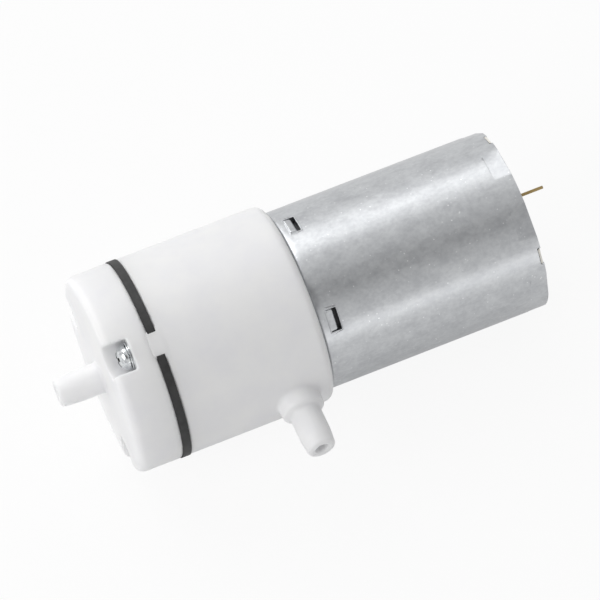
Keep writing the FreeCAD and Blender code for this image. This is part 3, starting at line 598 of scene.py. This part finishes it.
for angle in notch_angles:
    notch = box_piece("notch", (can_len - 0.45, 31), wall_cut, (-notch_half, notch_half))
    cut(can, lay(notch, turn=(angle, 0, 0)))
    for side in (-1, 1):
        flat = box_piece("flat", (-2.4, 1), (0, 1), (-6, 6))
        lay(flat, turn=(0, 0, -stake_slope), move=(can_len, stake_r, 0))
        cut(can, lay(flat, turn=(angle + side * stake_spread, 0, 0)))
bake(can, "BEVEL", width=0.05 * MM, segments=2, limit_method="ANGLE", angle_limit=math.radians(50),
     use_clamp_overlap=False)
tabs = []
for angle in window_angles:
    tab = box_piece("tab", (-0.2, 1.02), (-0.8, 0), (-1.52, 1.52))
    bake(tab, "BEVEL", width=0.35 * MM, segments=24)
    lay(tab, turn=(0, 0, -tab_slope), move=(window_x[0], tab_r, 0))
    tabs.append(lay(tab, turn=(angle, 0, 0)))
gather(can, tabs)
bpy.ops.object.shade_smooth_by_angle(angle=math.radians(12))
hand_over(can, zinc, "can_steel", "motor_can")

# %% [markdown]
# ## Cover screws
# Each M2 screw has a domed pan head with a cross recess, over a spring washer and a flat one. The head
# and washers are one turned profile whose grooves read as the dark lines between them. The thread is
# turned as rings 0.4 mm apart, its real pitch.

# %% Screws
rim_x, dome_height, pan_r, thread_pitch, recess_turn = -24.8, 1.15, 1.75, 0.4, 6
dome = []
for a in range(0, 91, 9):
    dome.append((rim_x - dome_height * math.cos(math.radians(a)), pan_r * math.sin(math.radians(a))))
thread = []
for i in range(29):
    thread += [(-23.9 + thread_pitch * i, 0.86), (-23.7 + thread_pitch * i, 0.99)]
screw = turned_piece("cover_screw_1", [
    *dome, (-24.62, pan_r), (-24.56, 1.66), (-24.56, 1.35), (-24.5, 1.35), (-24.5, 1.9), (-24.32, 1.9),
    (-24.32, 1.5), (-24.26, 1.5), (-24.26, 1.95), (-24.1, 1.95), (-24.1, 0.95), *thread, (-12.2, 0.5),
    (-12.1, 0),
], steps=64)
screw.data.materials.append(bright_zinc)
for turn in (0, 90):
    slot = lay(box_piece("slot", (-26.2, -25.2), (-1.0, 1.0), (-0.26, 0.26)), turn=(turn + recess_turn, 0, 0))
    # The slot's walls take the near-black painted shade of the recess.
    slot.data.materials.append(recess_shade)
    cut(screw, slot, faces="TRANSFER")
point = rod_piece("point", 0.58, (-26.2, -24.75), vertices=24)
# The recess's centre takes the same near-black painted shade.
point.data.materials.append(recess_shade)
cut(screw, point, faces="TRANSFER")
bake(screw, "BEVEL", width=0.04 * MM, segments=2, limit_method="ANGLE", angle_limit=math.radians(40))
lay(screw, move=(0, screw_circle, 0))
bpy.ops.object.shade_smooth_by_angle(angle=math.radians(35))
screws = [screw]
screws.append(twin(screw, "cover_screw_2", screw_angles[1]))
screws.append(twin(screw, "cover_screw_3", screw_angles[2]))
lay(screw, turn=(screw_angles[0], 0, 0))
for piece in screws:
    hand_over(piece, bright_zinc, "screw_chrome", "cover_screws")

# %% [markdown]
# ## Solder tags
# The tags are stamped from brass strip 0.4 mm thick, with a hole for the wire near a cropped tip.
# They get a very narrow bevel, and are turned 16 degrees about their own middle, so that the one that
# shows stands edge-on to the camera.

# %% Tags
tag_r, tag_turn, wire_hole_x, wire_hole_r = 8.5, 16, 33.15, 0.55
tag = box_piece("solder_tag_1", (24.55, 34.3), (7.35, 9.65), (-0.2, 0.2))
round_edges(tag, lambda a, b: min(a.x, b.x) > 34 and abs(a.z - b.z) > 0.1, 0.6, 3)
hole = rod_piece("wire_hole", wire_hole_r, (-1, 1), vertices=32)
cut(tag, lay(hole, turn=(0, 90, 0), move=(wire_hole_x, tag_r, 0)))
bake(tag, "BEVEL", width=0.05 * MM, segments=2, limit_method="ANGLE", angle_limit=math.radians(50))
lay(tag, move=(0, -tag_r, 0))
lay(tag, turn=(tag_turn, 0, 0), move=(0, tag_r, 0))
bpy.ops.object.shade_smooth_by_angle(angle=math.radians(35))
other_tag = twin(tag, "solder_tag_2", terminal_angles[1])
lay(tag, turn=(terminal_angles[0], 0, 0))
hand_over(tag, finishes["stamped_brass"], "brass", "terminal_1")
hand_over(other_tag, finishes["stamped_brass"], "brass", "terminal_2")

# %% [markdown]
# ## Floor
# The product lies on white paper that fades into a white room. Seen straight on, the paper is mostly
# plain white, which keeps a faint shadow. In mirrors it glows less, or the can's underside would be too
# bright.

# %% Floor
floor_gap, seen_share, mirrored_share = 0.0001, 0.9, 0.30
bpy.ops.object.select_all(action="DESELECT")
bpy.ops.mesh.primitive_plane_add(size=6, location=(0, 0, cad_box[0][2] - floor_gap))
floor = bpy.context.object
floor.name = "paper_floor"
paper, tree, shader, place = new_finish("white_paper", "#F2F2F2", 0.9)
fibres = between(tree, cloud(tree, place, 30.0), 0.3, 0.7, "#F0F0F0", "#F4F4F4")
tree.links.new(fibres, shader.inputs["Base Color"])
rays = add(tree, "ShaderNodeLightPath")
glossy, through = rays.outputs["Is Glossy Ray"], rays.outputs["Is Transmission Ray"]
mirrored = add(tree, "ShaderNodeMath", {0: glossy, 1: through}, operation="MAXIMUM")
part_mirrored = add(tree, "ShaderNodeMath", {0: mirrored.outputs[0]}, operation="MULTIPLY")
part_mirrored.inputs[1].default_value = mirrored_share
part_seen = add(tree, "ShaderNodeMath", {0: rays.outputs["Is Camera Ray"]}, operation="MULTIPLY")
part_seen.inputs[1].default_value = seen_share
part_white = add(tree, "ShaderNodeMath", {0: part_seen.outputs[0], 1: part_mirrored.outputs[0]},
                 operation="MAXIMUM")
glow = add(tree, "ShaderNodeEmission", Color=(1, 1, 1, 1), Strength=1.0)
blend = add(tree, "ShaderNodeMixShader",
            {0: part_white.outputs[0], 1: shader.outputs[0], 2: glow.outputs[0]})
tree.links.new(blend.outputs[0], tree.nodes["Material Output"].inputs["Surface"])
floor.data.materials.append(paper)

# %% [markdown]
# ## Room and lamps
# The lamps are large and soft: one high on the far side that lights the head's top and draws the broad
# bright band on the can, one low strip on the near side for the second band, one past the head that
# only the plastic faces, and a small one behind the motor for the staked rim. The room fills the rest,
# and is dark only round the camera, as the metal shows.

# %% Room and lamps
world = bpy.data.worlds.new("white_room")
bpy.context.scene.world = world
world.use_nodes = True
sky = world.node_tree.nodes["Background"]
sky.inputs["Color"].default_value = (1, 1, 1, 1)
rays = add(world.node_tree, "ShaderNodeLightPath")
aim = add(world.node_tree, "ShaderNodeTexCoord").outputs["Generated"]
toward = add(world.node_tree, "ShaderNodeVectorMath", {0: aim}, operation="DOT_PRODUCT")
toward.inputs[1].default_value = back
wide, narrow = math.cos(math.radians(27)), math.cos(math.radians(12))
room_diffuse, room_mirrored, room_dark = 0.42, 0.72, 0.15
opening = spread_to(world.node_tree, toward.outputs["Value"], wide, narrow, room_mirrored, room_dark)
fill = add(world.node_tree, "ShaderNodeMix", {"Factor": rays.outputs["Is Glossy Ray"], "B": opening},
           data_type="FLOAT", A=room_diffuse)
seen = add(world.node_tree, "ShaderNodeMath", {0: fill.outputs[0], 1: rays.outputs["Is Camera Ray"]},
           operation="MAXIMUM")
world.node_tree.links.new(seen.outputs[0], sky.inputs["Strength"])


def lamp(name, angle, along, distance, size, power):
    """Rectangular soft lamp at an angle round the shaft, aimed at the pump."""
    spot = radial(angle, along, distance)
    bpy.ops.object.light_add(type="AREA", location=spot)
    made = bpy.context.object
    made.name = name
    made.rotation_euler = spot.to_track_quat("Z", "Y").to_euler()
    made.data.shape = "RECTANGLE"
    made.data.size = size[0] * MM
    made.data.size_y = size[1] * MM
    made.data.energy = power


# Each line gives the angle in degrees, the place along the shaft, the distance and the size in
# millimetres, and the power in watts.
lamp("far_softbox", 38, -180, 700, (500, 900), 2.75)
lamp("near_strip", 175, 100, 600, (700, 160), 0.29)
lamp("front_softbox", 106, -650, 500, (500, 500), 2.2)
lamp("rear_kicker", 44, 260, 700, (140, 240), 0.22)
view = bpy.context.scene.view_settings
view.view_transform = "Standard"
print("lamps set")
